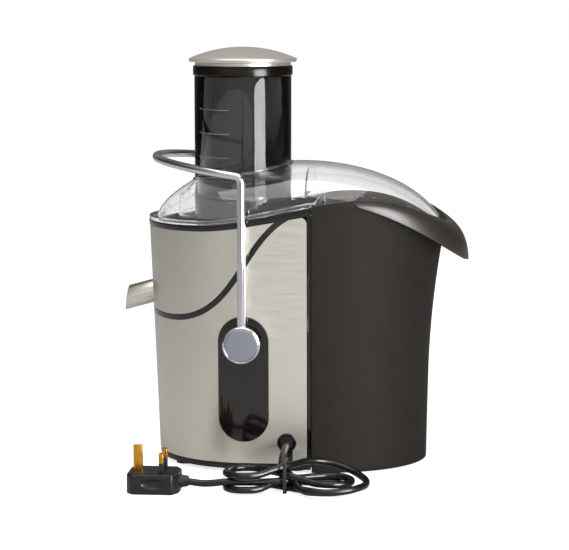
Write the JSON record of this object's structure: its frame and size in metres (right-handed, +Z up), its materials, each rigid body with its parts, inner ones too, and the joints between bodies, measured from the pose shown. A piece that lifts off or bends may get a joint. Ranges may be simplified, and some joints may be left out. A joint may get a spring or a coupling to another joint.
{
  "type": "centrifugal juicer",
  "caption": "Upright centrifugal juicer: steel-wrapped motor housing, clear lid with wide feed tube and pusher, locking bail, side pulp bin, juice spout and mains plug.",
  "frame": {"origin": "on the worktop, at the middle of the juicer's bounding box in plan, without its cord", "axes": "+Z up; -X towards the juice spout, +X towards the pulp bin; -Y towards the side where the mains cord comes out, +Y towards the side with the control knob"},
  "size_m": [0.3248, 0.306, 0.386],
  "materials": {
    "bin_plastic": "fine texture",
    "black_housing": "gloss",
    "bowl_plastic": "gloss",
    "brass": "bright",
    "brushed_steel_wrap": "brushed, champagne tinted",
    "cap_metal": "satin metallic",
    "carbon": "matte",
    "cast_alloy": "cast",
    "chrome": "polished",
    "clear_plastic": "clear polycarbonate",
    "collar_dark": "semi gloss",
    "copper": "bright",
    "copper_winding": "enamelled",
    "cord_pvc": "semi matte",
    "dark_plastic": "moulded",
    "laminated_steel": "laminated",
    "lead_pvc": "satin",
    "natural_plastic": "moulded",
    "panel_gloss": "gloss",
    "plug_pvc": "semi gloss",
    "rubber": "matte",
    "satin_disc": "satin",
    "smoked_plastic": "smoked",
    "steel_part": "ground",
    "steel_spout": "brushed"
  },
  "bodies": {
    "housing": {"rubber_feet": "rubber", "base_plate": "black_housing", "base_screws": "steel_part", "motor_housing": "black_housing", "upper_housing": "black_housing", "upper_steel_wrap": "brushed_steel_wrap", "lower_steel_wrap": "brushed_steel_wrap", "side_panel_front": "panel_gloss", "side_panel_back": "panel_gloss", "pivot_bushes": "natural_plastic", "cord_bezel": "dark_plastic", "cord_clamp": "rubber", "terminal_block": "natural_plastic", "rotary_switch": "natural_plastic", "thermal_cutout": "dark_plastic", "interlock_switch": "dark_plastic", "internal_leads": "lead_pvc", "stator_core": "laminated_steel", "field_coils": "copper_winding", "upper_motor_bracket": "cast_alloy", "lower_motor_bracket": "cast_alloy", "bearings": "steel_part", "brush_holders": "brass", "carbon_brushes": "carbon", "motor_mounts": "rubber", "shaft_seal": "rubber", "juice_bowl": "bowl_plastic", "juice_spout": "steel_spout", "cord_drop": "cord_pvc", "cord_hank": "cord_pvc", "cord_tail": "cord_pvc", "cord_tie": "plug_pvc", "plug_body": "plug_pvc", "plug_pins": "brass", "pin_sleeves": "plug_pvc"},
    "rotor": {"motor_shaft": "steel_part", "rotor_core": "laminated_steel", "rotor_windings": "copper_winding", "commutator": "copper", "cooling_fan": "natural_plastic", "drive_coupling": "dark_plastic", "basket_hub": "dark_plastic", "basket_frame": "natural_plastic", "filter_mesh": "steel_part", "grater_disc": "steel_part"},
    "bail": {"bail_rod": "chrome", "pivot_caps": "chrome", "pivot_cap_discs": "satin_disc", "pivot_pins": "steel_part"},
    "interlock": {"interlock_plunger": "natural_plastic"},
    "knob": {"control_knob": "collar_dark", "knob_spindle": "steel_part"},
    "lid": {"clear_lid": "clear_plastic", "feed_tube": "clear_plastic", "lid_seal": "rubber"},
    "pusher": {"pusher_body": "smoked_plastic", "pusher_collar": "collar_dark", "pusher_cap": "cap_metal"},
    "bin": {"pulp_bin": "bin_plastic", "bin_brim": "bin_plastic"}
  },
  "joints": [
    {"name": "rotor_spin", "type": "hinge", "parent": "housing", "child": "rotor", "pos_m": [-0.05, 0, 0.1], "axis": [0, 0, 1], "continuous": true},
    {"name": "bail_swing", "type": "hinge", "parent": "housing", "child": "bail", "pos_m": [-0.0405, 0, 0.121], "axis": [0, -1, 0], "range_deg": [0, 100]},
    {"name": "lid_lift", "type": "slide", "parent": "housing", "child": "lid", "axis": [0, 0, 1], "range_m": [0, 0.151]},
    {"name": "interlock_travel", "type": "slide", "parent": "housing", "child": "interlock", "axis": [0, 0, -1], "range_m": [0, 0.0026]},
    {"name": "pusher_slide", "type": "slide", "parent": "lid", "child": "pusher", "axis": [0, 0, 1], "range_m": [0, 0.19]},
    {"name": "bin_tilt", "type": "hinge", "parent": "housing", "child": "bin", "pos_m": [0.022, 0, 0.2445], "axis": [0, -1, 0], "range_deg": [0, 9]},
    {"name": "control_knob_turn", "type": "hinge", "parent": "housing", "child": "knob", "pos_m": [-0.0405, 0.09, 0.047], "axis": [0, 1, 0], "range_deg": [0, 90]}
  ],
  "couplings": [
    {"joint": "lid_lift", "follows": "bail_swing", "m_per_rad": 0.086},
    {"joint": "interlock_travel", "follows": "bail_swing", "m_per_rad": 0.00145}
  ]
}
